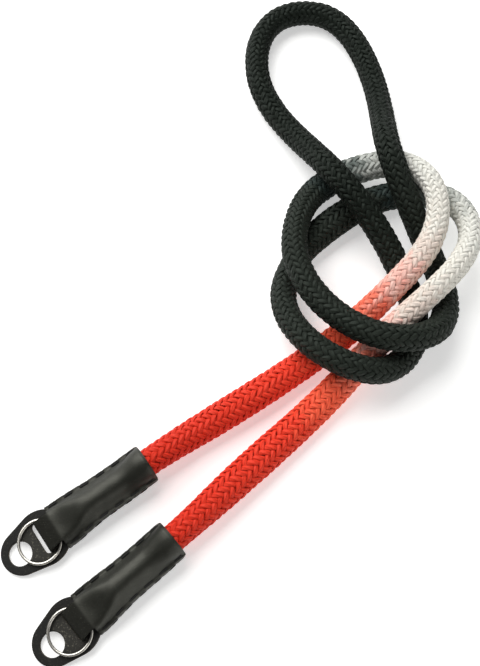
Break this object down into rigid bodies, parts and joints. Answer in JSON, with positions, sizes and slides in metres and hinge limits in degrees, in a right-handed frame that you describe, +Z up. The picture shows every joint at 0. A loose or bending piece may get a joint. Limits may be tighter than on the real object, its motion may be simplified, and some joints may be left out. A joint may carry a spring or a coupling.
{
  "type": "camera neck strap",
  "caption": "Braided rope neck strap, doubled and tied in a loose knot, with stitched leather sleeves, leather guards and split rings at both ends.",
  "frame": {"origin": "on the surface the strap lies on, below the middle of the two leather ends", "axes": "+Z up from that surface; the rope leads away from the leather ends towards +X and +Y"},
  "size_m": [0.1638, 0.253, 0.024],
  "materials": {
    "rope": "braided cord, dyed from red at both ends through white to dark grey-green in the middle",
    "leather": "smooth black leather with a soft sheen, the flesh side matt and speckled",
    "ring": "bright plated steel wire"
  },
  "bodies": {
    "root": {"rope": "rope", "sleeve_1": "leather", "sleeve_2": "leather", "guard_1": "leather", "guard_2": "leather", "ring_1": "ring", "ring_2": "ring"}
  },
  "joints": []
}
